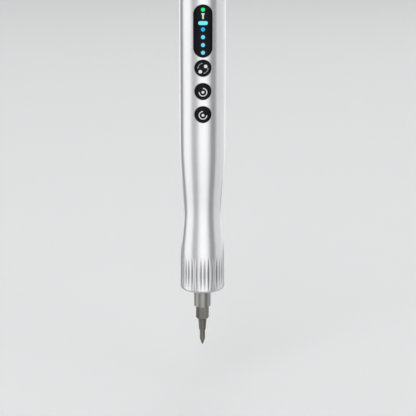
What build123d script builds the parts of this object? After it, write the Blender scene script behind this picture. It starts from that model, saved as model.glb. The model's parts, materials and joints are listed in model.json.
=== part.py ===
from build123d import *
import os
from math import acos, atan2, cos, degrees, pi, radians, sin, sqrt, tan

# Pen-shaped electric torque screwdriver, in millimetres.
# It stands bit down: +Z runs up the axis to the charging port, and the buttons are on the -Y side.
# The origin is the point of the bit. The drive, the boards and the battery stack up from there.

os.makedirs("parts", exist_ok=True)

# Clearances
fit = 0.02  # per side, between pieces that are pressed or slipped together
turning_gap = 0.04  # around a journal or a gear's pin
end_gap = 0.2  # beside a turning piece, along the axis
overrun = 1.0  # how far a cutting shape passes the face that it cuts

# Bit: 4 mm hexagon, turned shank and cross point
bit_across_flats = 4.0
bit_length = 28.0
bit_exposed = 15.0
bit_fit = 0.05
bit_point_d = 0.5
bit_tip_length = 2.0
bit_shank_d = 1.9
bit_shank_length = 3.5
bit_shank_step = 0.15
bit_neck_low_d = 2.4
bit_neck_d = 3.0
bit_neck_length = 4.1
bit_hex_cone = 0.6
bit_wing = 0.45  # thickness of each wing of the cross point

# Spindle, whose lower end is the chuck
spindle_d = 5.92
chuck_length = 7.0
spindle_collar_d = 7.4
spindle_collar_length = 4.4
spindle_stub_d = 4.0
socket_gap = 0.05
bit_magnet_length = 2.0
magnet_cover = 0.1  # at least this much of the collar lies above the magnet
spindle_bush_length = 3.0
gearbox_wall = 3.0  # front wall of the gearbox, where the spindle's upper journal turns

# Planetary gears
module = 0.32
pressure_angle = 25.0
sun_teeth = 9
planet_teeth = 9
planet_count = 3
tooth_thinning = 0.02
tip_share = 0.97  # addendum of the sun and planets, as a share of the module
ring_tip_share = 0.65
root_share = 1.25
flank_share = 0.55  # where along its height a flank changes slope
ring_root_gap = 0.08
ring_wall = 0.48
planet_width = 4.0
planet_bore_d = 0.9
carrier_thickness = 1.3
carrier_rim = 0.55
gearbox_gap = 0.5

# Motor, a sealed unit
motor_shaft_d = 1.0
motor_length = 25.5
motor_bore_depth = 4.0
end_cap_thickness = 1.6
terminal_width = 1.4
terminal_thickness = 0.3
terminal_length = 2.2
terminal_offset = 2.2

# Housing
body_d = 16.0
body_wall = 1.0
nose_wall = 1.6
nose_gap = 0.2
nose_d = 15.8
nose_bevel = 0.6
nose_bevel_height = 0.35
nose_edge = 0.2
nose_edge_height = 0.65
nose_length = 10.6
collar_d = 15.5
collar_length = 3.0
waist_cone_d = 12.9  # where the two cones would meet under the blend
lower_cone_length = 13.6
upper_cone_length = 17.3
waist_blend = 50.0
shoulder_d = 15.56  # the upper cone ends here, and a softer slope follows
shoulder_length = 5.5
flute_count = 32
flute_length = 11.2
flute_depth = 0.36
flute_width = 1.2

# Buttons and their switches
button_d = 5.7
button_gap = 0.05
button_recess = 0.05
button_foot = 0.6
button_foot_length = 4.2
button_foot_thickness = 0.6
button_spacing = 2.3
button_travel = 0.25
switch_width = 3.4
switch_thickness = 1.7
switch_gap = 0.05  # left between a pressed button and its switch

# Display
display_width = 6.4
display_length = 17.75
display_spacing = 0.85
display_recess = 0.04
display_flange = 0.3
display_flange_thickness = 0.5
led_width = 1.2
led_height = 0.6
bar_led_length = 3.2
status_led_share = 0.411  # places of the lights, as shares of the display's length
bar_led_share = 0.16
level_led_share = 0.404
led_pitch_share = 0.148
level_led_count = 4
cell_width = 3.6
cell_height = 1.9
baffle_wall = 0.5

# Main board
lead_room = 7.6
board_thickness = 0.8
board_side_gap = 0.5
board_margin = 11.8
board_top_margin = 3.6
chip_width = 4.0
chip_length = 4.6
chip_height = 0.7
chip_count = 4
chip_pitch = 8.6
chip_margin = 9.0

# Sled that carries the boards and the battery
sled_gap = 0.1
sled_wall = 0.6
sled_end = 1.2
rail_width = 1.2
rail_thickness = 0.9

# Battery and its tabs
battery_length = 44.0
battery_gap = 0.1
battery_room = 3.4
strip_thickness = 0.15
strip_width = 2.6
strip_offset = 3.0  # sideways, for the strip that shares a board's end with another
strip_reach = 2.2

# Charging port
port_width = 8.94
port_height = 3.26
port_length = 7.3
port_corner = 1.5
port_wall = 0.3
port_recess = 0.25
port_gap = 0.1
tongue_width = 6.7
tongue_thickness = 0.7
tongue_length = 4.4
tongue_base = 1.6
port_board_width = 9.6
port_board_length = 6.4
port_board_room = 2.2

# Rear cap
cap_thickness = 2.0
cap_bevel = 0.5
cap_spigot = 2.6

# Radii that follow from the sizes above
body_r = body_d / 2
bore_r = body_r - body_wall
spindle_r = spindle_d / 2
bush_bore_r = spindle_r + turning_gap
magnet_r = bit_across_flats / 2 + bit_fit - fit
gear_offset = module * (sun_teeth + planet_teeth) / 2
ring_teeth = sun_teeth + 2 * planet_teeth
ring_tip_r = module * (ring_teeth / 2 - ring_tip_share)
ring_root_r = module * (ring_teeth / 2 + 1) + ring_root_gap
drive_r = ring_root_r + ring_wall
pin_r = planet_bore_d / 2 - turning_gap
carrier_r = gear_offset + pin_r + carrier_rim
shaft_r = motor_shaft_d / 2
sled_r = bore_r - sled_gap
sled_bore_r = sled_r - sled_wall
battery_r = sled_bore_r - battery_gap

# Heights up the axis
nose_z = bit_exposed + chuck_length
bush_z = nose_z + nose_wall
collar_z = bush_z + spindle_bush_length
magnet_z = bit_length + socket_gap
socket_top_z = magnet_z + bit_magnet_length + fit
collar_top_z = max(collar_z + spindle_collar_length, socket_top_z + magnet_cover)
gearbox_z = collar_top_z + gearbox_wall
carrier_z = gearbox_z + gearbox_gap
planet_z = carrier_z + carrier_thickness + end_gap
planet_top_z = planet_z + planet_width
motor_z = planet_top_z + gearbox_gap
end_cap_z = motor_z + motor_length
drive_top_z = end_cap_z + end_cap_thickness
board_z = drive_top_z + lead_room
button_pitch = button_d + button_spacing
reverse_z = board_z + board_margin
forward_z = reverse_z + button_pitch
mode_z = forward_z + button_pitch
display_z = mode_z + button_d / 2 + display_spacing + display_length / 2
board_top_z = display_z + display_length / 2 + board_top_margin
battery_z = board_top_z + battery_room
battery_top_z = battery_z + battery_length
port_board_z = battery_top_z + port_board_room
port_board_top_z = port_board_z + port_board_length
tube_top_z = port_board_top_z + end_gap + cap_spigot
top_z = tube_top_z + cap_thickness
port_z = top_z - port_recess - port_length
sled_z = drive_top_z + fit
sled_top_z = port_board_top_z

# Distances from the axis towards the buttons
foot_r = button_d / 2 + button_foot
foot_front = sqrt(bore_r**2 - foot_r**2) - sled_gap
foot_back = foot_front - button_foot_thickness
switch_front = foot_back - button_travel - switch_gap
board_front = switch_front - switch_thickness
board_back = board_front - board_thickness
board_half_width = sqrt(bore_r**2 - board_front**2) - board_side_gap
window_foot_r = display_width / 2 + display_flange
window_back = sqrt(bore_r**2 - window_foot_r**2) - sled_gap - display_flange_thickness
deck_front = board_back - fit
port_board_front = -port_height / 2 - fit
port_board_back = port_board_front - board_thickness

# Lights of the display, as heights
status_led_z = display_z + status_led_share * display_length
bar_led_z = display_z + bar_led_share * display_length
level_led_zs = [
    display_z + (led_pitch_share * step - level_led_share) * display_length
    for step in range(level_led_count)
]

# Front view: x to the right, y up the axis, and its offset runs towards the buttons
front = Plane.XZ
side = Plane.YZ


def save(piece, name):
    """Labels a finished piece and writes it as a file of its own."""
    piece.label = name
    export_step(piece, f"parts/{name}.step")


def turned(*outline):
    """A piece turned from a closed outline of (radius, height) points."""
    with BuildPart() as piece:
        with BuildSketch(front):
            with BuildLine():
                Polyline(*outline, close=True)
            make_face()
        revolve(axis=Axis.Z)
    return piece.part


def sleeve(outer_r, inner_r, low_z, high_z):
    """A plain ring around the axis."""
    with BuildPart() as ring:
        with BuildSketch(Plane.XY.offset(low_z)):
            Circle(outer_r)
            Circle(inner_r, mode=Mode.SUBTRACT)
        extrude(amount=high_z - low_z)
    return ring.part


def disc(radius, low_z, high_z):
    """A plain round rod or disc on the axis."""
    with BuildPart() as rod:
        with BuildSketch(Plane.XY.offset(low_z)):
            Circle(radius)
        extrude(amount=high_z - low_z)
    return rod.part


# Housing: fluted nose, waisted grip and straight barrel in one piece.
# Each flute is ground by the V edge of a large wheel, so it is widest halfway and pointed at its ends.
def make_flute_cutter():
    wheel_r = flute_length**2 / (8 * flute_depth)
    taper = atan2((nose_d - collar_d) / 2, nose_length)
    flute_z = nose_z + (nose_bevel_height + nose_edge_height + nose_length) / 2
    surface_r = (nose_d + collar_d) / 4
    centre_r = surface_r - flute_depth + wheel_r * cos(taper)
    centre_z = flute_z + wheel_r * sin(taper)
    half_sweep = degrees(acos(1 - flute_depth / wheel_r)) + overrun
    rim_height = flute_depth + overrun
    rim_half_width = rim_height * flute_width / 2 / flute_depth
    wheel_plane = Plane((centre_r, 0, centre_z), x_dir=(-1, 0, 0), z_dir=(0, 0, -1))
    with BuildPart() as cutter:
        with BuildSketch(wheel_plane.rotated((0, degrees(taper) - half_sweep, 0))):
            with BuildLine():
                Polyline(
                    (wheel_r, 0),
                    (wheel_r - rim_height, rim_half_width),
                    (wheel_r - rim_height, -rim_half_width),
                    close=True,
                )
            make_face()
        revolve(axis=Axis((centre_r, 0, centre_z), (0, 1, 0)), revolution_arc=2 * half_sweep)
    return cutter.part


def make_body_tube():
    hole_r = spindle_r + nose_gap
    nose_r = nose_d / 2
    collar_r = collar_d / 2
    drive_bore_r = drive_r + fit
    edge_z = nose_z + nose_bevel_height
    side_z = edge_z + nose_edge_height
    collar_z = side_z + nose_length
    cone_z = collar_z + collar_length
    waist_z = cone_z + lower_cone_length
    shoulder_z = waist_z + upper_cone_length
    barrel_z = shoulder_z + shoulder_length
    cutter = make_flute_cutter()
    with BuildPart() as body_tube:
        with BuildSketch(front):
            with BuildLine():
                Polyline(
                    (hole_r, nose_z),
                    (nose_r - nose_bevel - nose_edge, nose_z),
                    (nose_r - nose_edge, edge_z),
                    (nose_r, side_z),
                    (collar_r, collar_z),
                    (collar_r, cone_z),
                )
                FilletPolyline(
                    (collar_r, cone_z),
                    (waist_cone_d / 2, waist_z),
                    (shoulder_d / 2, shoulder_z),
                    radius=waist_blend,
                )
                Polyline(
                    (shoulder_d / 2, shoulder_z),
                    (body_r, barrel_z),
                    (body_r, tube_top_z),
                    (bore_r, tube_top_z),
                    (bore_r, drive_top_z),
                    (drive_bore_r, drive_top_z),
                    (drive_bore_r, bush_z),
                    (hole_r, bush_z),
                    (hole_r, nose_z),
                )
            make_face()
        revolve(axis=Axis.Z)
        with PolarLocations(0, flute_count):
            add(cutter, mode=Mode.SUBTRACT)
        with BuildSketch(front):
            with Locations((0, reverse_z), (0, forward_z), (0, mode_z)):
                Circle(button_d / 2 + button_gap)
            with Locations((0, display_z)):
                SlotOverall(
                    display_length + 2 * button_gap, display_width + 2 * button_gap, rotation=90
                )
        extrude(amount=body_r + overrun, mode=Mode.SUBTRACT)
    return body_tube.part


save(make_body_tube(), "body_tube")


# Rear cap with the opening of the charging port
def make_rear_cap():
    spigot_r = bore_r - fit
    spigot_z = tube_top_z - cap_spigot
    with BuildPart() as rear_cap:
        add(
            turned(
                (0, spigot_z),
                (spigot_r, spigot_z),
                (spigot_r, tube_top_z),
                (body_r, tube_top_z),
                (body_r, top_z - cap_bevel),
                (body_r - cap_bevel, top_z),
                (0, top_z),
            )
        )
        with BuildSketch(Plane.XY.offset(spigot_z)):
            RectangleRounded(
                port_width + 2 * port_gap, port_height + 2 * port_gap, port_corner + port_gap
            )
        extrude(amount=cap_spigot + cap_thickness, mode=Mode.SUBTRACT)
    return rear_cap.part


save(make_rear_cap(), "rear_cap")


# Bush that carries the spindle's lower journal
save(sleeve(drive_r, bush_bore_r, bush_z + fit, collar_z - fit), "spindle_bush")


# Spindle: chuck with its hexagon socket, collar, and a stub for the carrier
def make_spindle():
    collar_r = spindle_collar_d / 2
    stub_r = spindle_stub_d / 2
    with BuildPart() as spindle:
        add(
            turned(
                (0, bit_exposed),
                (spindle_r, bit_exposed),
                (spindle_r, collar_z + end_gap),
                (collar_r, collar_z + end_gap),
                (collar_r, collar_top_z - end_gap),
                (spindle_r, collar_top_z - end_gap),
                (spindle_r, gearbox_z),
                (stub_r, gearbox_z),
                (stub_r, carrier_z + carrier_thickness),
                (0, carrier_z + carrier_thickness),
            )
        )
        with BuildSketch(Plane.XY.offset(bit_exposed)):
            RegularPolygon(bit_across_flats / 2 + bit_fit, 6, major_radius=False)
        extrude(amount=socket_top_z - bit_exposed, mode=Mode.SUBTRACT)
    return spindle.part


save(make_spindle(), "spindle")


# Magnet, glued into the end of the hexagon socket
save(disc(magnet_r, magnet_z, magnet_z + bit_magnet_length), "bit_magnet")


# Bit: four square notches leave the wings of the cross point
def make_bit():
    step_z = bit_tip_length + bit_shank_length
    neck_z = step_z + bit_shank_step
    cone_z = neck_z + bit_neck_length
    hex_z = cone_z + bit_hex_cone
    flat_r = bit_across_flats / 2
    corner_r = flat_r / cos(pi / 6)
    notch = bit_shank_d
    with BuildPart() as bit:
        with BuildSketch(Plane.XY.offset(cone_z)):
            RegularPolygon(flat_r, 6, major_radius=False)
        extrude(amount=bit_length - cone_z)
        add(
            turned(
                (0, cone_z),
                (bit_neck_d / 2, cone_z),
                (corner_r, hex_z),
                (corner_r + overrun, hex_z + overrun),
                (corner_r + overrun, bit_length),
                (0, bit_length),
            ),
            mode=Mode.INTERSECT,
        )
        add(
            turned(
                (0, 0),
                (bit_point_d / 2, 0),
                (bit_shank_d / 2, bit_tip_length),
                (bit_shank_d / 2, step_z),
                (bit_neck_low_d / 2, neck_z),
                (bit_neck_d / 2, cone_z),
                (0, cone_z),
            )
        )
        with BuildSketch():
            with GridLocations(bit_wing + notch, bit_wing + notch, 2, 2):
                Rectangle(notch, notch)
        extrude(amount=bit_tip_length, mode=Mode.SUBTRACT)
    return bit.part


save(make_bit(), "bit")


# Gear teeth: each flank is two flats through three points of the involute
def half_angle(radius, teeth, thinning):
    """Half the angle that a tooth, or a ring's space, fills at a radius."""
    pitch_r = module * teeth / 2
    base_r = pitch_r * cos(radians(pressure_angle))
    roll = acos(base_r / max(radius, base_r))
    involute = tan(radians(pressure_angle)) - radians(pressure_angle) - tan(roll) + roll
    return pi / (2 * teeth) - thinning / pitch_r + involute


def tooth_outline(teeth, low_r, high_r, thinning):
    """Corners of all teeth, or of a ring's spaces, the first one centred on +X."""
    middle_r = low_r + (high_r - low_r) * flank_share
    flank = [(r, half_angle(r, teeth, thinning)) for r in (low_r, middle_r, high_r)]
    tooth = [(r, -angle) for r, angle in flank] + [(r, angle) for r, angle in reversed(flank)]
    pitch = 2 * pi / teeth
    return [
        (r * cos(index * pitch + angle), r * sin(index * pitch + angle))
        for index in range(teeth)
        for r, angle in tooth
    ]


def make_gear(teeth, bore_r, turn=0, x=0, y=0):
    """A sun or planet gear with a round bore, turned by some degrees."""
    root_r = module * (teeth / 2 - root_share)
    tip_r = module * (teeth / 2 + tip_share)
    with BuildPart() as gear:
        with BuildSketch(Plane((x, y, planet_z)).rotated((0, 0, turn))):
            with BuildLine():
                Polyline(*tooth_outline(teeth, root_r, tip_r, tooth_thinning), close=True)
            make_face()
            Circle(bore_r, mode=Mode.SUBTRACT)
        extrude(amount=planet_width)
    return gear.part


save(make_gear(sun_teeth, shaft_r + fit), "sun_gear")

# A planet's first tooth points straight out, into a space of the ring
for planet_index, planet_letter in enumerate("abcdef"[:planet_count]):
    planet_angle = 360 / planet_count * planet_index
    planet_x = gear_offset * cos(radians(planet_angle))
    planet_y = gear_offset * sin(radians(planet_angle))
    planet = make_gear(planet_teeth, planet_bore_d / 2, planet_angle, planet_x, planet_y)
    save(planet, f"planet_gear_{planet_letter}")


# Gearbox case: ring gear, with a front wall for the spindle's upper journal
def make_ring_gear():
    with BuildPart() as ring_gear:
        add(sleeve(drive_r, bush_bore_r, collar_top_z + fit, motor_z - fit))
        with BuildSketch(Plane.XY.offset(gearbox_z)):
            with BuildLine():
                Polyline(
                    *tooth_outline(ring_teeth, ring_tip_r, ring_root_r, -tooth_thinning),
                    close=True,
                )
            make_face()
        extrude(amount=motor_z - gearbox_z, mode=Mode.SUBTRACT)
    return ring_gear.part


save(make_ring_gear(), "ring_gear")


# Carrier, sintered with its three pins
def make_carrier():
    carrier_top_z = carrier_z + carrier_thickness
    with BuildPart() as carrier:
        add(sleeve(carrier_r, spindle_stub_d / 2 + fit, carrier_z, carrier_top_z))
        with BuildSketch(Plane.XY.offset(carrier_top_z)):
            with PolarLocations(gear_offset, planet_count):
                Circle(pin_r)
        extrude(amount=end_gap + planet_width)
    return carrier.part


save(make_carrier(), "carrier")


# Motor: can with its shaft, and an end cap that carries the terminals
motor_bore_r = shaft_r + turning_gap
motor_bore_z = motor_z + motor_bore_depth
motor_can = turned(
    (motor_bore_r, motor_z),
    (drive_r, motor_z),
    (drive_r, end_cap_z - fit),
    (0, end_cap_z - fit),
    (0, motor_bore_z),
    (motor_bore_r, motor_bore_z),
)
save(motor_can, "motor_can")


save(disc(shaft_r, planet_z, motor_bore_z - end_gap), "motor_shaft")
save(disc(drive_r, end_cap_z, drive_top_z), "motor_end_cap")


# Terminals, and a ribbon from each to the back of the main board
ribbon_depth = deck_front - strip_thickness / 2
terminal_depth = ribbon_depth - (strip_thickness + terminal_thickness) / 2 - fit


def make_terminal_strips(depth, width, thickness, low_z, high_z):
    with BuildPart() as strips:
        with BuildSketch(Plane.XY.offset(low_z)):
            with Locations((-terminal_offset, -depth), (terminal_offset, -depth)):
                Rectangle(width, thickness)
        extrude(amount=high_z - low_z)
    return strips.part


motor_terminals = make_terminal_strips(
    terminal_depth,
    terminal_width,
    terminal_thickness,
    drive_top_z + fit,
    drive_top_z + terminal_length,
)
save(motor_terminals, "motor_terminals")

motor_ribbons = make_terminal_strips(
    ribbon_depth,
    terminal_width,
    strip_thickness,
    drive_top_z + end_gap,
    board_z + strip_reach,
)
save(motor_ribbons, "motor_ribbons")


# Main board with chips behind it and switches before it
def make_main_board():
    with BuildPart() as main_board:
        with BuildSketch(front.offset(board_back)):
            with Locations((0, (board_z + board_top_z) / 2)):
                Rectangle(2 * board_half_width, board_top_z - board_z)
        extrude(amount=board_thickness)
    return main_board.part


save(make_main_board(), "main_board")


def make_board_chips():
    with BuildPart() as board_chips:
        with BuildSketch(front.offset(board_back - fit)):
            for chip_index in range(chip_count):
                with Locations((0, board_z + chip_margin + chip_pitch * chip_index)):
                    Rectangle(chip_width, chip_length)
        extrude(amount=-chip_height)
    return board_chips.part


save(make_board_chips(), "board_chips")


def make_switch_bodies():
    with BuildPart() as switch_bodies:
        with BuildSketch(front.offset(board_front + fit)):
            with Locations((0, reverse_z), (0, forward_z), (0, mode_z)):
                Rectangle(switch_width, switch_width)
        extrude(amount=switch_thickness - fit)
    return switch_bodies.part


save(make_switch_bodies(), "switch_bodies")


# Buttons: the face follows the barrel, and a foot keeps each one in its hole
def make_button(height):
    with BuildPart() as button:
        with BuildSketch(front.offset(foot_back)):
            with Locations((0, height)):
                Circle(button_d / 2)
        extrude(amount=body_r)
        with Locations((0, 0, height)):
            Cylinder(body_r - button_recess, 2 * button_d, mode=Mode.INTERSECT)
        with BuildSketch(front.offset(foot_back)):
            with Locations((0, height)):
                Rectangle(2 * foot_r, button_foot_length)
        extrude(amount=button_foot_thickness)
    return button.part


save(make_button(mode_z), "mode_button")
save(make_button(forward_z), "forward_button")
save(make_button(reverse_z), "reverse_button")


# Display: window, and the lights behind it in a frame with a cell for each
def make_display_window():
    with BuildPart() as display_window:
        with BuildSketch(front.offset(window_back)):
            with Locations((0, display_z)):
                SlotOverall(display_length, display_width, rotation=90)
        extrude(amount=body_r)
        with Locations((0, 0, display_z)):
            Cylinder(body_r - display_recess, 2 * display_length, mode=Mode.INTERSECT)
        with BuildSketch(front.offset(window_back)):
            with Locations((0, display_z)):
                Rectangle(2 * window_foot_r, display_length - display_width)
        extrude(amount=display_flange_thickness)
    return display_window.part


save(make_display_window(), "display_window")


def make_leds(heights, width):
    with BuildPart() as leds:
        with BuildSketch(front.offset(board_front + fit)):
            with Locations(*[(0, height) for height in heights]):
                Rectangle(width, led_width)
        extrude(amount=led_height)
    return leds.part


save(make_leds([status_led_z], led_width), "status_led")
save(make_leds([bar_led_z], bar_led_length), "bar_led")
save(make_leds(level_led_zs, led_width), "level_leds")


def make_light_baffle():
    led_zs = [status_led_z, bar_led_z, *level_led_zs]
    low_z = min(led_zs) - cell_height / 2 - baffle_wall
    high_z = max(led_zs) + cell_height / 2 + baffle_wall
    with BuildPart() as light_baffle:
        with BuildSketch(front.offset(board_front + fit)):
            with Locations((0, (low_z + high_z) / 2)):
                Rectangle(cell_width + 2 * baffle_wall, high_z - low_z)
            with Locations(*[(0, led_z) for led_z in led_zs]):
                Rectangle(cell_width, cell_height, mode=Mode.SUBTRACT)
        extrude(amount=window_back - board_front - 2 * fit)
    return light_baffle.part


save(make_light_baffle(), "light_baffle")


# Sled: an open shell with rails under the board, end walls, and a floor for the port's board
def make_sled():
    wall_r = sled_r - sled_wall / 2
    rail_inner = 2 * (board_half_width - rail_width)
    with BuildPart() as sled:
        with BuildSketch(Plane.XY.offset(sled_z)):
            Circle(sled_r)
            Circle(sled_bore_r, mode=Mode.SUBTRACT)
            with Locations((0, -deck_front - sled_r)):
                Rectangle(2 * sled_r, 2 * sled_r, mode=Mode.SUBTRACT)
        extrude(amount=sled_top_z - sled_z)
        with BuildSketch(Plane.XY.offset(board_z)):
            Circle(wall_r)
            with Locations((0, -deck_front - sled_r)):
                Rectangle(2 * sled_r, 2 * sled_r, mode=Mode.SUBTRACT)
            with Locations((0, -deck_front + rail_thickness + sled_r)):
                Rectangle(2 * sled_r, 2 * sled_r, mode=Mode.SUBTRACT)
            Rectangle(rail_inner, 2 * sled_r, mode=Mode.SUBTRACT)
        extrude(amount=board_top_z - board_z)
        for wall_z in (sled_z, battery_z - battery_gap - sled_end):
            with BuildSketch(Plane.XY.offset(wall_z)):
                Circle(wall_r)
                with Locations((0, -sled_r)):
                    Rectangle(2 * sled_r, 2 * sled_r, mode=Mode.SUBTRACT)
            extrude(amount=sled_end)
        with BuildSketch(Plane.XY.offset(port_board_z)):
            Circle(wall_r)
            with Locations((0, -port_board_back + fit - sled_r)):
                Rectangle(2 * sled_r, 2 * sled_r, mode=Mode.SUBTRACT)
        extrude(amount=sled_top_z - port_board_z)
    return sled.part


save(make_sled(), "sled")


# Battery, and the metal strips that join it to the boards
save(disc(battery_r, battery_z, battery_top_z), "battery_cell")


def make_strip(*path, x=0):
    """A thin strip along a path of (distance towards the buttons, height) points."""
    with BuildPart() as strip:
        with BuildSketch(side.offset(x)):
            with BuildLine():
                Polyline(*[(-depth, height) for depth, height in path])
            trace(line_width=strip_thickness)
        extrude(amount=strip_width / 2, both=True)
    return strip.part


strip_fit = strip_thickness / 2 + fit
board_strip = make_strip(
    (0, battery_z - strip_fit),
    (board_back - strip_fit, battery_z - strip_fit),
    (board_back - strip_fit, board_top_z - strip_reach),
)
save(board_strip, "battery_strip_front")

port_strip = make_strip(
    (0, battery_top_z + strip_fit),
    (port_board_front + strip_fit, battery_top_z + strip_fit),
    (port_board_front + strip_fit, port_board_z + strip_reach),
    x=-strip_offset,
)
save(port_strip, "battery_strip_rear")

charge_depth = (battery_r + bore_r) / 2
charge_strip = make_strip(
    (board_front + strip_fit, board_top_z - strip_reach),
    (board_front + strip_fit, board_top_z),
    (charge_depth, battery_z - strip_fit),
    (charge_depth, battery_top_z + strip_fit),
    (port_board_front + strip_fit, port_board_z + strip_reach),
)
save(charge_strip, "charge_strip")


# Charging port: metal shell, plastic tongue and its board
def make_port_shell():
    with BuildPart() as port_shell:
        with BuildSketch(Plane.XY.offset(port_z)):
            RectangleRounded(port_width, port_height, port_corner)
            RectangleRounded(
                port_width - 2 * port_wall,
                port_height - 2 * port_wall,
                port_corner - port_wall,
                mode=Mode.SUBTRACT,
            )
        extrude(amount=port_length)
    return port_shell.part


save(make_port_shell(), "port_shell")


def make_port_tongue():
    base_height = port_height - 2 * (port_wall + fit)
    with BuildPart() as port_tongue:
        with BuildSketch(Plane.XY.offset(port_z)):
            Rectangle(port_width - 2 * port_corner, base_height)
        extrude(amount=tongue_base)
        with BuildSketch(Plane.XY.offset(port_z + tongue_base)):
            Rectangle(tongue_width, tongue_thickness)
        extrude(amount=tongue_length)
    return port_tongue.part


save(make_port_tongue(), "port_tongue")


def make_port_board():
    with BuildPart() as port_board:
        with BuildSketch(front.offset(port_board_front)):
            with Locations((0, (port_board_z + port_board_top_z) / 2)):
                Rectangle(port_board_width, port_board_length)
        extrude(amount=-board_thickness)
    return port_board.part


save(make_port_board(), "port_board")
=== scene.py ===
import json
import math

import bmesh
import bpy
import numpy as np
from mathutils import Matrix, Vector


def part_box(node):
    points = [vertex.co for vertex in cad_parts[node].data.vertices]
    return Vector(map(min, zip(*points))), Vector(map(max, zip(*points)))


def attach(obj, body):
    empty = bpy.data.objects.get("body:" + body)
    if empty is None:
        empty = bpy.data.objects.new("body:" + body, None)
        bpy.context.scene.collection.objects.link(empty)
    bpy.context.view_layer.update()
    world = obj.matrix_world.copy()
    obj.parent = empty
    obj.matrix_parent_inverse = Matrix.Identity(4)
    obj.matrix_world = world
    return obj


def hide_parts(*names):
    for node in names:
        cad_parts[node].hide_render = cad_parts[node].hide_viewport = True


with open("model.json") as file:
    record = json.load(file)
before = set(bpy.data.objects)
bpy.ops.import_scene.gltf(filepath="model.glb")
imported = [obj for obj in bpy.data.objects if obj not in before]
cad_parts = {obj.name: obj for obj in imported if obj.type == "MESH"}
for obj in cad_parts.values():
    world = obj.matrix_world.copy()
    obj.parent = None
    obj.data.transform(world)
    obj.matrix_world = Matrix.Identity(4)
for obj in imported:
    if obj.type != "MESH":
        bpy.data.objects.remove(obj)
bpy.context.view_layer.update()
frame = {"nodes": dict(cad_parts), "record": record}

mm = 0.001
scene = bpy.context.scene
scene.view_settings.view_transform = "Standard"

# The tool stands on its bit, which touches z = 0, and its buttons face -Y.
camera = {
    "away": 0.43947,  # metres from the tool's axis
    "height": 0.17453,
    "round": -1.4,  # degrees round the tool, to the right
    "down": 15.63,  # degrees below the horizon
    "lens": 110.9,  # mm
    "sensor": 36,  # mm wide
    "shift": 0.0134,  # puts the tool a little left of the middle
    "clip": (0.01, 20),
}


def towards(azimuth, elevation):
    # the direction from the tool, with the azimuth counted from the front to the right
    a, e = math.radians(azimuth), math.radians(elevation)
    return Vector((math.sin(a) * math.cos(e), -math.cos(a) * math.cos(e), math.sin(e)))


def setCamera():
    data = bpy.data.cameras.new("studioCamera")
    data.sensor_width = camera["sensor"]
    data.lens = camera["lens"]
    data.shift_x = camera["shift"]
    data.clip_start, data.clip_end = camera["clip"]
    eye = bpy.data.objects.new("studioCamera", data)
    scene.collection.objects.link(eye)
    away, turn = camera["away"], math.radians(camera["round"])
    eye.location = (away * math.sin(turn), -away * math.cos(turn), camera["height"])
    eye.rotation_mode = "QUATERNION"
    look = -towards(camera["round"], camera["down"])
    eye.rotation_quaternion = look.to_track_quat("-Z", "Y")
    scene.camera = eye


setCamera()
print("camera is set")

studio = {
    "backdrop": (0.80, 0.81, 0.82),  # what the camera, metal and glass see
    "below": 0.55,  # share of it that they see underneath
    "belowFrom": (-0.80, -0.45),  # directions over which it falls, as heights on a ball
    "ambient": 0.50,  # the same all round, on dull surfaces
    "floorHeight": -0.0158,  # clears the bit when it is pulled out
    "floorSize": 12.0,
    "floorColour": (0.93, 0.935, 0.94),
    "floorRough": 0.9,
    "floorMirror": 0.1,
    "lampPower": 4,  # watts for each square metre at brightness 1
    "lampAim": 0.1,  # height of the point that the lamps look at
    "lamps": [  # azimuth, elevation, distance, width, height, brightness
        ("keyLamp", -28, 42, 1.5, 0.9, 1.1, 1.15),
        ("fillLamp", 48, 30, 1.6, 0.9, 1.2, 0.55),
        ("rimLamp", 168, 50, 1.5, 1.0, 0.8, 0.8),
        ("topLamp", 20, 86, 1.5, 1.0, 1.0, 0.7),
    ],
    "cardDistance": 1.3,
    "cardSteps": 6,  # flat strips in one curved card
    "cardTint": 1.01,  # a trace of blue
    "cardFade": (-0.75, -0.36),  # below this height a card grows dimmer
    "cardDim": 0.80,
    "cards": [  # azimuth of the middle, half width in degrees, lowest, highest, brightness
        ("frontCard", 3, 21, -1.1, 1.5, 1.10),
        ("leftGap", -43, 15, -1.1, 1.5, 0.50),
        ("leftCard", -84, 24, -1.1, 1.5, 1.04),
        ("leftBackGap", -127, 13, -1.1, 1.5, 0.25),
        ("leftRim", -157, 11, -0.32, 1.5, 1.16),
        ("leftLow", -157, 12, -1.1, -0.32, 0.30),
        ("backGap", 180, 11, -1.1, 1.5, 0.45),
        ("rightGap", 54, 17, -1.1, 1.5, 0.30),
        ("rightCard", 99, 22, -1.1, 1.5, 0.72),
        ("rightRim", 157, 11, -0.32, 1.5, 1.16),
        ("rightLow", 152, 17, -1.1, -0.32, 0.30),
    ],
}


def addNode(tree, kind, values):
    node = tree.nodes.new(kind)
    for socket, value in values.items():
        node.inputs[socket].default_value = value
    return node


def addRange(tree, source, span, result):
    node = tree.nodes.new("ShaderNodeMapRange")
    node.inputs["From Min"].default_value, node.inputs["From Max"].default_value = span
    node.inputs["To Min"].default_value, node.inputs["To Max"].default_value = result
    tree.links.new(source, node.inputs["Value"])
    return node.outputs["Result"]


def addHeight(tree, source):
    axes = tree.nodes.new("ShaderNodeSeparateXYZ")
    tree.links.new(source, axes.inputs[0])
    return axes.outputs["Z"]


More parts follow.
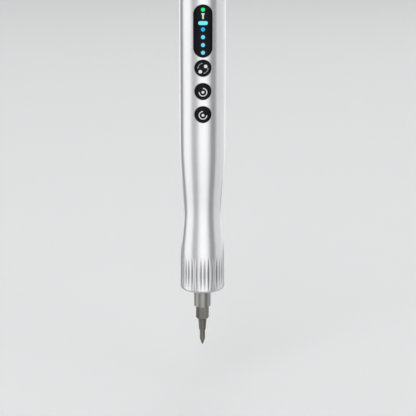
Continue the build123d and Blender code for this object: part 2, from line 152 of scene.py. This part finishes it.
def setWorld():
    world = bpy.data.worlds.new("paleStudio")
    scene.world = world
    world.use_nodes = True
    tree = world.node_tree
    tree.nodes.clear()
    rays = tree.nodes.new("ShaderNodeLightPath")
    seen = rays.outputs["Is Camera Ray"]
    for kind in ("Is Glossy Ray", "Is Transmission Ray"):
        either = tree.nodes.new("ShaderNodeMath")
        either.operation = "MAXIMUM"
        tree.links.new(seen, either.inputs[0])
        tree.links.new(rays.outputs[kind], either.inputs[1])
        seen = either.outputs[0]
    dull = addNode(tree, "ShaderNodeBackground", {"Color": (studio["ambient"],) * 3 + (1,)})
    pale = addNode(tree, "ShaderNodeBackground", {"Color": (*studio["backdrop"], 1)})
    height = addHeight(tree, tree.nodes.new("ShaderNodeTexCoord").outputs["Generated"])
    fall = addRange(tree, height, studio["belowFrom"], (studio["below"], 1))
    tree.links.new(fall, pale.inputs["Strength"])
    mix = tree.nodes.new("ShaderNodeMixShader")
    for index, source in enumerate((seen, dull.outputs[0], pale.outputs[0])):
        tree.links.new(source, mix.inputs[index])
    out = tree.nodes.new("ShaderNodeOutputWorld")
    tree.links.new(mix.outputs[0], out.inputs["Surface"])


def placeLamps():
    for name, azimuth, elevation, distance, width, height, level in studio["lamps"]:
        data = bpy.data.lights.new(name, "AREA")
        data.shape = "RECTANGLE"
        data.size, data.size_y = width, height
        data.energy = level * studio["lampPower"] * width * height
        lamp = bpy.data.objects.new(name, data)
        scene.collection.objects.link(lamp)
        away = towards(azimuth, elevation)
        lamp.location = away * distance + Vector((0, 0, studio["lampAim"]))
        lamp.rotation_mode = "QUATERNION"
        lamp.rotation_quaternion = away.to_track_quat("Z", "Y")
        lamp.visible_camera = False
        lamp.visible_glossy = False  # metal sees the cards instead


def bareMesh(name, points, faces, material=None):
    mesh = bpy.data.meshes.new(name)
    mesh.from_pydata([tuple(p) for p in points], [], faces)
    mesh.validate()
    piece = bpy.data.objects.new(name, mesh)
    scene.collection.objects.link(piece)
    if material:
        mesh.materials.append(material)
    return piece


def stripFaces(steps):
    # the points come in pairs, one pair at each step
    return [(2 * i, 2 * i + 1, 2 * i + 3, 2 * i + 2) for i in range(steps)]


def cardGlow(name, level):
    material = bpy.data.materials.new(name)
    material.use_nodes = True
    tree = material.node_tree
    tree.nodes.clear()
    colour = (level, level, level * studio["cardTint"], 1)
    glow = addNode(tree, "ShaderNodeEmission", {"Color": colour})
    height = addHeight(tree, tree.nodes.new("ShaderNodeNewGeometry").outputs["Position"])
    fade = addRange(tree, height, studio["cardFade"], (studio["cardDim"], 1))
    tree.links.new(fade, glow.inputs["Strength"])
    out = tree.nodes.new("ShaderNodeOutputMaterial")
    tree.links.new(glow.outputs[0], out.inputs["Surface"])
    return material


def placeCards():
    distance, steps = studio["cardDistance"], studio["cardSteps"]
    for name, azimuth, halfWidth, low, high, level in studio["cards"]:
        points = []
        for i in range(steps + 1):
            a = math.radians(azimuth - halfWidth + 2 * halfWidth * i / steps)
            points += [(distance * math.sin(a), -distance * math.cos(a), z) for z in (low, high)]
        card = bareMesh(name, points, stripFaces(steps), cardGlow(name, level))
        card.visible_camera = card.visible_diffuse = card.visible_shadow = False
        card.visible_transmission = card.visible_volume_scatter = False


def placeFloor():
    s, z = studio["floorSize"] / 2, studio["floorHeight"]
    material = bpy.data.materials.new("paleFloor")
    material.use_nodes = True
    shader = material.node_tree.nodes["Principled BSDF"]
    shader.inputs["Base Color"].default_value = (*studio["floorColour"], 1)
    shader.inputs["Roughness"].default_value = studio["floorRough"]
    shader.inputs["Specular IOR Level"].default_value = studio["floorMirror"]
    corners = [(-s, -s, z), (s, -s, z), (s, s, z), (-s, s, z)]
    floor = bareMesh("studioFloor", corners, [(0, 1, 2, 3)], material)
    floor.visible_glossy = False


setWorld()
placeLamps()
placeCards()
placeFloor()
print("studio is lit")

# Each finish drifts between its colour and its shade, and its roughness follows a fine grain.
# Grain and bump are in mm. A mirror below 0.5 takes the shine off, and a glow is a light's colour.
finishes = {
    "anodised_aluminium": dict(
        colour=(0.93, 0.93, 0.935), shade=(0.90, 0.90, 0.91), metallic=1.0,
        rough=(0.25, 0.31), grain=0.09, bump=0.0016,
        ground=0.6),  # painted shade: how much darker the bottom of a flute is drawn, for the shade in its hollow
    "satin_steel": dict(
        colour=(0.42, 0.405, 0.385), shade=(0.36, 0.345, 0.325), metallic=1.0,
        rough=(0.27, 0.36), grain=0.12, bump=0.003),
    "bit_steel": dict(
        colour=(0.238, 0.231, 0.205), shade=(0.192, 0.184, 0.160), metallic=1.0,
        rough=(0.26, 0.38), grain=0.1, bump=0.003),
    "gear_steel": dict(
        colour=(0.55, 0.55, 0.56), shade=(0.46, 0.46, 0.47), metallic=1.0,
        rough=(0.30, 0.42), grain=0.15, bump=0.004),
    "bronze": dict(
        colour=(0.56, 0.36, 0.17), shade=(0.44, 0.27, 0.12), metallic=1.0,
        rough=(0.35, 0.50), grain=0.12, bump=0.006),
    "brass": dict(
        colour=(0.79, 0.60, 0.28), shade=(0.70, 0.51, 0.21), metallic=1.0,
        rough=(0.24, 0.36), grain=0.15, bump=0.003),
    "nickel": dict(
        colour=(0.68, 0.66, 0.62), shade=(0.60, 0.58, 0.54), metallic=1.0,
        rough=(0.20, 0.32), grain=0.12, bump=0.002),
    "gear_plastic": dict(
        colour=(0.84, 0.82, 0.76), shade=(0.78, 0.76, 0.69), metallic=0.0,
        rough=(0.38, 0.48), grain=0.3, bump=0.004),
    "black_plastic": dict(
        colour=(0.022, 0.022, 0.024), shade=(0.030, 0.030, 0.032), metallic=0.0,
        rough=(0.45, 0.58), grain=0.12, bump=0.008),
    "grey_plastic": dict(
        colour=(0.22, 0.22, 0.23), shade=(0.18, 0.18, 0.19), metallic=0.0,
        rough=(0.45, 0.58), grain=0.15, bump=0.008),
    "gloss_black": dict(
        colour=(0.006, 0.006, 0.007), shade=(0.010, 0.009, 0.011), metallic=0.0,
        rough=(0.16, 0.24), grain=0.4, bump=0.001, mirror=0.10),
    "window_black": dict(
        colour=(0.006, 0.005, 0.007), shade=(0.009, 0.008, 0.010), metallic=0.0,
        rough=(0.07, 0.12), grain=0.6, bump=0.0005, mirror=0.10),
    "green_light": dict(
        colour=(0.01, 0.05, 0.02), shade=(0.01, 0.04, 0.02), metallic=0.0,
        rough=(0.3, 0.4), grain=0.2, bump=0.001, mirror=0.05, glow=(0.0, 0.88, 0.235)),
    "cyan_light": dict(
        colour=(0.02, 0.05, 0.05), shade=(0.02, 0.04, 0.04), metallic=0.0,
        rough=(0.3, 0.4), grain=0.2, bump=0.001, mirror=0.05, glow=(0.15, 0.84, 0.92)),
    "blue_light": dict(
        colour=(0.02, 0.04, 0.05), shade=(0.02, 0.03, 0.04), metallic=0.0,
        rough=(0.3, 0.4), grain=0.2, bump=0.001, mirror=0.05, glow=(0.14, 0.68, 0.94)),
    "deep_blue_light": dict(
        colour=(0.01, 0.03, 0.05), shade=(0.01, 0.025, 0.04), metallic=0.0,
        rough=(0.3, 0.4), grain=0.2, bump=0.001, mirror=0.05, glow=(0.0, 0.48, 0.96)),
    "white_print": dict(
        colour=(0.90, 0.90, 0.90), shade=(0.84, 0.84, 0.84), metallic=0.0,
        rough=(0.42, 0.55), grain=0.2, bump=0.002),
    "grey_print": dict(
        colour=(0.36, 0.36, 0.37), shade=(0.30, 0.30, 0.31), metallic=0.0,
        rough=(0.42, 0.55), grain=0.2, bump=0.002),
    "circuit_board": dict(
        colour=(0.012, 0.105, 0.045), shade=(0.010, 0.080, 0.035), metallic=0.0,
        rough=(0.30, 0.42), grain=0.5, bump=0.006),
    "battery_sleeve": dict(
        colour=(0.03, 0.10, 0.30), shade=(0.025, 0.085, 0.26), metallic=0.0,
        rough=(0.22, 0.32), grain=0.8, bump=0.004),
}
texture = {
    "detail": 3.0,
    "drift": 3.5,  # mm, size of the slow change of tone
    "driftStretch": 0.4,  # draws it out along the tool
    "toneSpan": (0.35, 0.65),  # part of the noise that goes from shade to colour
    "glossSpan": (0.3, 0.7),  # part of it that goes from smooth to rough
}


def addNoise(tree, coords, size, stretch):
    place = addNode(tree, "ShaderNodeMapping", {"Scale": (1, 1, stretch)})
    values = {"Scale": 1 / (size * mm), "Detail": texture["detail"]}
    noise = addNode(tree, "ShaderNodeTexNoise", values)
    tree.links.new(coords, place.inputs["Vector"])
    tree.links.new(place.outputs["Vector"], noise.inputs["Vector"])
    return noise.outputs["Fac"]


def addTone(tree, coords, look):
    tone = tree.nodes.new("ShaderNodeValToRGB")
    ramp = tone.color_ramp.elements
    ramp[0].position, ramp[1].position = texture["toneSpan"]
    ramp[0].color, ramp[1].color = (*look["shade"], 1), (*look["colour"], 1)
    drift = addNoise(tree, coords, texture["drift"], texture["driftStretch"])
    tree.links.new(drift, tone.inputs["Fac"])
    if "ground" not in look:
        return tone.outputs["Color"]
    # painted shade: the base colour darkens with the flute's depth, standing in for the shade in
    # the flutes' hollows
    depth = tree.nodes.new("ShaderNodeAttribute")
    depth.attribute_name = "fluteDepth"
    darken = addRange(tree, depth.outputs["Fac"], (0, 1), (1, 1 - look["ground"]))
    shaded = tree.nodes.new("ShaderNodeVectorMath")
    shaded.operation = "SCALE"
    tree.links.new(tone.outputs["Color"], shaded.inputs[0])
    tree.links.new(darken, shaded.inputs["Scale"])
    return shaded.outputs[0]


def makeFinish(name, look):
    material = bpy.data.materials.new(name)
    material.use_nodes = True
    tree = material.node_tree
    shader = tree.nodes["Principled BSDF"]
    shader.inputs["Metallic"].default_value = look["metallic"]
    shader.inputs["Specular IOR Level"].default_value = look.get("mirror", 0.5)
    coords = tree.nodes.new("ShaderNodeTexCoord").outputs["Object"]
    tree.links.new(addTone(tree, coords, look), shader.inputs["Base Color"])
    grain = addNoise(tree, coords, look["grain"], 1)
    gloss = addRange(tree, grain, texture["glossSpan"], look["rough"])
    tree.links.new(gloss, shader.inputs["Roughness"])
    relief = addNode(tree, "ShaderNodeBump", {"Distance": look["bump"] * mm})
    tree.links.new(grain, relief.inputs["Height"])
    tree.links.new(relief.outputs["Normal"], shader.inputs["Normal"])
    if "glow" in look:
        shader.inputs["Emission Color"].default_value = (*look["glow"], 1)
        shader.inputs["Emission Strength"].default_value = 1.0
    return material


materials = {name: makeFinish(name, look) for name, look in finishes.items()}
print("finishes are mixed:", len(materials))


def dressSolids():
    slotOf = {part["node"]: part["material_slot"] for part in frame["record"]["subparts"]}
    for name, solid in frame["nodes"].items():
        slot = slotOf[name]
        solid.data.materials.clear()
        solid.data.materials.append(materials[slot])


dressSolids()
print("solids are dressed:", len(frame["nodes"]))


def heightsOf(node):
    low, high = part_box(node)
    return low.z / mm, high.z / mm


def middleOf(node):
    return sum(heightsOf(node)) / 2


# The housing is one ring mesh, in mm and with heights above the nose.
noseZ, barrelTopZ = heightsOf("body_tube")
housing = {
    "barrelR": 8.0,
    "noseHoleR": 3.16,
    "noseFaceR": 7.1,
    "noseRing": 0.75,  # one more ring on the nose's face, as a share of its radius
    "noseRound": (0.8, 1.0),  # rounding outwards and upwards
    "noseSteps": 8,
    "outline": [  # height, radius
        (1.0, 7.90), (3.0, 7.83), (6.0, 7.79), (9.0, 7.765), (12.0, 7.745), (13.8, 7.735),
        (15.4, 7.68), (17.5, 7.49), (20.0, 7.20), (22.5, 6.96), (25.0, 6.73), (27.2, 6.60),
        (29.0, 6.575), (31.0, 6.63), (33.5, 6.81), (37.0, 7.08), (41.0, 7.40), (44.5, 7.62),
        (47.0, 7.79), (49.5, 7.915), (52.5, 7.965), (56.0, 7.99), (60.0, 8.00), (64.0, 8.00),
    ],
    "outlineStep": 0.1,
    "outlineBlur": 13,  # steps to each side over which the outline is softened
    "topBevel": 0.12,
    "bores": [(5.22, 1.6, 45.6), (7.0, 45.6, barrelTopZ - noseZ)],  # radius, from, to
    "boreRows": 12,
    "flutes": 32,
    "perFlute": 16,  # mesh columns over one flute
    "fluteTurn": 0.44,  # so that a land between two flutes faces the front
    "fluteLow": 0.3,
    "fluteWide": 6.8,  # height where a flute is widest
    "fluteHigh": 13.4,
    "fluteTaper": (1.8, 1.8),  # how full the ends are, below and above the widest place
    "fluteDepth": 0.145,
    "fluteRound": 0.11,  # softness of the bottom
    "fluteSlope": 0.40,  # of the sides
    "noseFade": (0.3, 0.5),  # the flutes run out on the nose's rounding: over, and how steeply
    "fluteReach": (0.16, 0.985),  # least half width in mm, and most as a share of half a pitch
    "evenOver": 3.0,  # above the flutes the columns spread evenly again
    "fluteStep": 0.28,  # rows along the flutes
    "pastFlutes": 0.3,
    "softStep": 0.8,  # rows along the waist
    "softTop": 62.0,
    "plainStep": 4.0,  # rows along the barrel
    "topClear": 1.0,
    "sharp": 24,  # degrees, an edge above this stays crisp
}


def steadySlopes(z, r):
    # slopes that never overshoot a neighbour
    gap = np.diff(z)
    rise = np.diff(r) / gap
    slope = np.zeros(len(z))
    for i in range(1, len(z) - 1):
        if rise[i - 1] * rise[i] > 0:
            a, b = 2 * gap[i] + gap[i - 1], gap[i] + 2 * gap[i - 1]
            slope[i] = (a + b) / (a / rise[i - 1] + b / rise[i])
    slope[0] = rise[0]
    return slope


def outlineRadius(heights):
    z, r = np.array(housing["outline"]).T
    slope = steadySlopes(z, r)
    step, reach = housing["outlineStep"], housing["outlineBlur"]
    fine = np.arange(z[0], z[-1], step)
    i = np.clip(np.searchsorted(z, fine, "right") - 1, 0, len(z) - 2)
    gap = z[i + 1] - z[i]
    t = (fine - z[i]) / gap
    value = ((2 * t**3 - 3 * t**2 + 1) * r[i] + (t**3 - 2 * t**2 + t) * gap * slope[i]
             + (3 * t**2 - 2 * t**3) * r[i + 1] + (t**3 - t**2) * gap * slope[i + 1])
    blur = np.hanning(2 * reach + 1)
    blur /= blur.sum()
    before = value[0] + (np.arange(-reach, 0) * step) * slope[0]
    padded = np.concatenate([before, value, np.full(reach, value[-1])])
    return np.interp(heights, fine, np.convolve(padded, blur, "valid"))


def outsideRows():
    face, (wide, tall) = housing["noseFaceR"], housing["noseRound"]
    rows = [(housing["noseHoleR"], 0.0), (face * housing["noseRing"], 0.0)]
    for i in range(housing["noseSteps"] + 1):
        turn = math.radians(90 * i / housing["noseSteps"])
        rows.append((face + wide * math.sin(turn), tall * (1 - math.cos(turn))))
    fine, soft, plain = housing["fluteStep"], housing["softStep"], housing["plainStep"]
    softTop, top = housing["softTop"], barrelTopZ - noseZ
    heights = list(np.arange(tall + fine, housing["fluteHigh"] + housing["pastFlutes"], fine))
    heights += list(np.arange(heights[-1] + soft / 2, softTop, soft))
    heights += list(np.arange(softTop + plain / 2, top - housing["topClear"], plain))
    rows += list(zip(outlineRadius(heights), heights))
    radius, bevel = housing["barrelR"], housing["topBevel"]
    return rows + [(radius, top - bevel), (radius - bevel, top)]


def insideRows():
    (lowR, lowZ, stepZ), (highR, _, topZ) = housing["bores"]
    rows = [(highR, z) for z in np.linspace(topZ, stepZ, housing["boreRows"])]
    rows += [(lowR, stepZ), (lowR, (stepZ + lowZ) / 2), (lowR, lowZ)]
    return rows + [(housing["noseHoleR"], lowZ)]


def fluteCut(s, z):
    # depth at s mm beside the middle of a flute, and half of the flute's width there
    low, wide, high = housing["fluteLow"], housing["fluteWide"], housing["fluteHigh"]
    lowTaper, highTaper = housing["fluteTaper"]
    if z > wide:
        share = ((z - wide) / (high - wide)) ** highTaper
    else:
        share = ((wide - z) / (wide - low)) ** lowTaper
    depth = max(0.0, housing["fluteDepth"] * (1 - share))
    soft, slope = housing["fluteRound"], housing["fluteSlope"]
    reach = math.sqrt((depth + soft) ** 2 - soft**2) / slope
    cut = depth - (math.sqrt(soft**2 + (slope * s) ** 2) - soft)
    return max(0.0, cut), reach


def columnPlaces(r, z, outside):
    # where the mesh columns of one flute stand, in mm beside its middle
    count = housing["perFlute"] // 2
    halfPitch = math.pi * r / housing["flutes"]
    least, most = housing["fluteReach"]
    reach = min(max(fluteCut(0, z)[1], least), halfPitch * most)
    past = max(0.0, z - housing["fluteHigh"])
    share = max(0.0, 1 - past / housing["evenOver"]) if outside else 0.0
    places = []
    for j in range(1 - count, count + 1):
        size = abs(j)
        if size <= count - 2:
            bent = reach * size / (count - 2)
        elif size == count - 1:
            bent = (reach + halfPitch) / 2
        else:
            bent = halfPitch
        even = halfPitch * size / count
        places.append(math.copysign(bent * share + even * (1 - share), j))
    return places


def betweenRings(a, b, count):
    # faces between two rings of points that begin at a and b
    faces = []
    for i in range(count):
        n = (i + 1) % count
        faces.append((a + i, a + n, b + n, b + i))
    return faces


def housingMesh():
    outside, inside = outsideRows(), insideRows()
    over, steepness = housing["noseFade"]
    points, depths = [], []
    for index, (r, z) in enumerate(outside + inside):
        isOutside = index < len(outside)
        places = columnPlaces(r, z, isOutside)
        pastFace = r - housing["noseFaceR"]
        for flute in range(housing["flutes"]):
            middle = 2 * math.pi * (flute + housing["fluteTurn"]) / housing["flutes"]
            for s in places:
                cut = fluteCut(s, z)[0] if isOutside else 0.0
                if pastFace < over:
                    cut = min(cut, max(0.0, pastFace) * steepness)
                angle, reach = middle + s / r, (r - cut) * mm
                points.append((reach * math.sin(angle), -reach * math.cos(angle), (noseZ + z) * mm))
                depths.append(cut / housing["fluteDepth"])
    rows = len(outside) + len(inside)
    around = housing["flutes"] * housing["perFlute"]
    faces = []
    for i in range(rows):
        faces += betweenRings(i * around, (i + 1) % rows * around, around)
    return points, faces, depths


# The openings are for the three buttons and the display window.
buttons = ("mode_button", "forward_button", "reverse_button")
openings = {
    "buttonHoleR": 2.9,
    "buttonZ": {name: middleOf(name) for name in buttons},
    "windowHole": (3.225, 8.9),  # half width and half height
    "windowZ": middleOf("display_window"),
    "edge": 0.13,  # bright broken edge
    "from": 6.2,  # radius where a cutter begins, inside the bore
    "past": 0.3,  # how far it stands out of the barrel
    "count": 96,
}


def slotOutline(halfWidth, halfHeight, grow, count):
    # a circle, or a slot with round ends where it is taller than wide
    radius = halfWidth + grow
    straight = halfHeight - halfWidth
    outline = []
    for i in range(count):
        turn = 2 * math.pi * (i + 0.5) / count
        lift = straight if math.sin(turn) >= 0 else -straight
        outline.append((radius * math.cos(turn), radius * math.sin(turn) + lift))
    return outline


def onBarrel(x, z, radius):
    return (x * mm, -math.sqrt(radius**2 - x**2) * mm, z * mm)


def evenNormals(piece):
    work = bmesh.new()
    work.from_mesh(piece.data)
    bmesh.ops.recalc_face_normals(work, faces=work.faces)
    work.to_mesh(piece.data)
    work.free()


def smoothShade(piece, angle):
    piece.data.shade_smooth()
    piece.data.set_sharp_from_angle(angle=math.radians(angle))


def makePlug(name, size, middleZ, rings, ends, count, material=None):
    # a closed plug of rings (growth, radius), with a middle point at each end
    points, faces = [], []
    for grow, radius in rings:
        points += [onBarrel(x, middleZ + z, radius) for x, z in slotOutline(*size, grow, count)]
    for k in range(len(rings) - 1):
        faces += betweenRings(k * count, (k + 1) * count, count)
    first, second = len(points), len(points) + 1
    last = first - count
    points += [onBarrel(0, middleZ, radius) for radius in ends]
    for i in range(count):
        n = (i + 1) % count
        faces += [(first, n, i), (second, last + i, last + n)]
    plug = bareMesh(name, points, faces, material)
    evenNormals(plug)
    return plug


def holeCutter(name, size, middleZ):
    edge, start, past = openings["edge"], openings["from"], openings["past"]
    surface = housing["barrelR"]
    rings = [(0, start), (0, surface - edge), (edge + past, surface + past)]
    return makePlug(name, size, middleZ, rings, (start, surface + past), openings["count"])


def cutWith(piece, cutters):
    for cutter in cutters:
        cut = piece.modifiers.new(cutter.name, "BOOLEAN")
        cut.operation = "DIFFERENCE"
        cut.solver = "EXACT"
        cut.object = cutter
    bpy.context.view_layer.update()
    graph = bpy.context.evaluated_depsgraph_get()
    cutMesh = bpy.data.meshes.new_from_object(piece.evaluated_get(graph))
    piece.modifiers.clear()
    piece.data = cutMesh
    for cutter in cutters:
        bpy.data.objects.remove(cutter)


def makeHousing():
    points, faces, depths = housingMesh()
    barrel = bareMesh("housing", points, faces, materials["anodised_aluminium"])
    barrel.data.attributes.new("fluteDepth", "FLOAT", "POINT").data.foreach_set("value", depths)
    evenNormals(barrel)
    holeR = openings["buttonHoleR"]
    cutters = [holeCutter("cut_" + name, (holeR, holeR), z)
               for name, z in openings["buttonZ"].items()]
    cutters.append(holeCutter("cut_window", openings["windowHole"], openings["windowZ"]))
    cutWith(barrel, cutters)
    smoothShade(barrel, housing["sharp"])
    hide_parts("body_tube")
    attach(barrel, "housing")


makeHousing()
print("housing is turned, fluted and cut")

# The caps stand in the openings, with faces that follow the barrel.
caps = {
    "buttonR": 2.85,
    "buttonFaceR": 7.95,
    "buttonBackR": 7.2,
    "window": (3.2, 8.875),  # half width and half height
    "windowFaceR": 7.96,
    "windowBackR": 7.15,
    "faceRings": [0.35, 0.7, 0.9],  # rings on the face, as shares of the half width
    "rounding": 0.13,
    "roundSteps": 4,
    "count": 96,
    "sharp": 40,  # degrees, an edge above this stays crisp
}


def makeCap(name, size, middleZ, faceR, backR, slot):
    rounding, steps = caps["rounding"], caps["roundSteps"]
    rings = [(-(1 - share) * size[0], faceR) for share in caps["faceRings"]]
    for i in range(steps + 1):
        turn = math.radians(90 * i / steps)
        rings.append((-rounding * (1 - math.sin(turn)), faceR - rounding * (1 - math.cos(turn))))
    rings.append((0, backR))
    cap = makePlug(name, size, middleZ, rings, (faceR, backR), caps["count"], materials[slot])
    smoothShade(cap, caps["sharp"])
    return cap


def makeControls():
    size = (caps["buttonR"], caps["buttonR"])
    for name, z in openings["buttonZ"].items():
        cap = makeCap(name + "_cap", size, z,
                      caps["buttonFaceR"], caps["buttonBackR"], "gloss_black")
        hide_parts(name)
        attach(cap, name)
    window = makeCap("display_glass", caps["window"], openings["windowZ"],
                     caps["windowFaceR"], caps["windowBackR"], "window_black")
    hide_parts("display_window")
    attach(window, "housing")


makeControls()
print("buttons and window are in")

# Prints and lights are thin sheets on the caps, drawn in mm from a button's or the window's middle.
marks = {
    "lift": 0.014,  # how far a sheet stands off its face
    "sheet": 0.03,  # thickness
    "steps": 40,  # round a disc or along an arc
    "ringR": 1.32,  # forward and reverse marks
    "ringStroke": 0.31,
    "ringTurn": 270,
    "ringDotR": 0.49,
    "ringDrop": 0.22,
    "modeDotR": 0.62,
    "modeDots": [(0.92, 0.66), (-0.92, -1.16)],
    "modeArrowR": 1.72,
    "modeArrowStroke": 0.24,
    "modeArrowTip": 0.34,  # half width of the head
    "modeArrows": [(-5, -80), (175, 100)],  # from and to, in degrees clockwise from the top
    "tipLength": 1.5,  # of an arrow's head, in half widths
    "greenZ": 7.24,
    "lightR": 0.68,
    "barZ": 2.76,
    "bar": (1.62, 0.65),  # half width and half height
    "barSteps": 16,
    "levelZ": [0.63, -1.97, -4.64, -7.25],
    "screw": [  # height, half width
        (4.09, 0.22), (4.39, 0.28), (5.35, 0.30), (5.63, 0.38), (5.83, 0.58), (6.05, 0.60),
    ],
}


def disc(x, z, radius):
    count = marks["steps"]
    points, faces = [(x, z)], []
    for share in (0.5, 1.0):
        for i in range(count):
            turn, reach = 2 * math.pi * i / count, radius * share
            points.append((x + reach * math.cos(turn), z + reach * math.sin(turn)))
    for i in range(count):
        n = (i + 1) % count
        faces.append((0, 1 + i, 1 + n))
        faces.append((1 + i, 1 + count + i, 1 + count + n, 1 + n))
    return points, faces


def arcBand(x, z, radius, stroke, start, end, tip=0.0):
    # angles clockwise from the top, and a tip widens the far end into an arrow's head
    def spot(reach, turn):
        return (x + reach * math.sin(turn), z + reach * math.cos(turn))

    steps = marks["steps"]
    points, faces = [], stripFaces(steps)
    for i in range(steps + 1):
        turn = math.radians(start + (end - start) * i / steps)
        points += [spot(radius + side * stroke, turn) for side in (-0.5, 0.5)]
    if tip:
        turn = math.radians(end)
        ahead = turn + math.copysign(marks["tipLength"] * tip / radius, end - start)
        base = len(points)
        points += [spot(reach, turn) for reach in (radius - tip, radius, radius + tip)]
        points.append(spot(radius, ahead))
        faces += [(base, base + 1, base + 3), (base + 1, base + 2, base + 3)]
    return points, faces


def band(rows):
    # rows of height and half width, each five points wide
    points, faces = [], []
    for z, half in rows:
        points += [(half * share, z) for share in (-1, -0.5, 0, 0.5, 1)]
    for i in range(len(rows) - 1):
        for a in range(5 * i, 5 * i + 4):
            faces.append((a, a + 1, a + 6, a + 5))
    return points, faces


def roundedBar(half, tall):
    rows, steps = [], marks["barSteps"]
    for i in range(steps + 1):
        turn = math.radians(-90 + 180 * i / steps)
        rows.append((tall * math.sin(turn), half - tall + tall * math.cos(turn)))
    return band(rows)


def faceFront(piece):
    work = bmesh.new()
    work.from_mesh(piece.data)
    for face in work.faces:
        face.normal_update()
        if face.normal.y > 0:
            face.normal_flip()
    work.to_mesh(piece.data)
    work.free()


def layOn(name, patches, faceR, middleZ, body, slot, finish=None):
    points, faces = [], []
    for patchPoints, patchFaces in patches:
        base = len(points)
        points += [onBarrel(x, z + middleZ, faceR + marks["lift"]) for x, z in patchPoints]
        faces += [tuple(base + i for i in face) for face in patchFaces]
    piece = bareMesh(name, points, faces, materials[finish or slot])
    faceFront(piece)
    thick = piece.modifiers.new("sheet", "SOLIDIFY")
    thick.thickness = marks["sheet"] * mm
    thick.offset = -1
    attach(piece, body)


def makePrints():
    face, buttonZ, drop = caps["buttonFaceR"], openings["buttonZ"], -marks["ringDrop"]
    ring = (0, drop, marks["ringR"], marks["ringStroke"])
    for way, turn in (("forward", marks["ringTurn"]), ("reverse", -marks["ringTurn"])):
        button = way + "_button"
        patches = [arcBand(*ring, 0, turn), disc(0, drop, marks["ringDotR"])]
        layOn(way + "_mark", patches, face, buttonZ[button], button, "white_print")
    dots = [disc(x, z, marks["modeDotR"]) for x, z in marks["modeDots"]]
    layOn("mode_mark", dots, face, buttonZ["mode_button"], "mode_button", "white_print")
    arrow, tip = (0, 0, marks["modeArrowR"], marks["modeArrowStroke"]), marks["modeArrowTip"]
    arrows = [arcBand(*arrow, start, end, tip) for start, end in marks["modeArrows"]]
    layOn("mode_arrows", arrows, face, buttonZ["mode_button"], "mode_button", "grey_print")


def makeDisplay():
    face, middle = caps["windowFaceR"], openings["windowZ"]
    light = [disc(0, 0, marks["lightR"])]
    layOn("status_light", light, face, middle + marks["greenZ"], "housing", "green_light")
    bar = [roundedBar(*marks["bar"])]
    layOn("torque_bar", bar, face, middle + marks["barZ"], "housing", "cyan_light")
    for i, z in enumerate(marks["levelZ"]):
        blue = "blue_light" if i else "deep_blue_light"  # the first one is deeper
        layOn(f"level_light_{i + 1}", light, face, middle + z, "housing", "blue_light", blue)
    layOn("screw_mark", [band(marks["screw"])], face, middle, "housing", "white_print")


makePrints()
makeDisplay()
print("marks and lights are on")
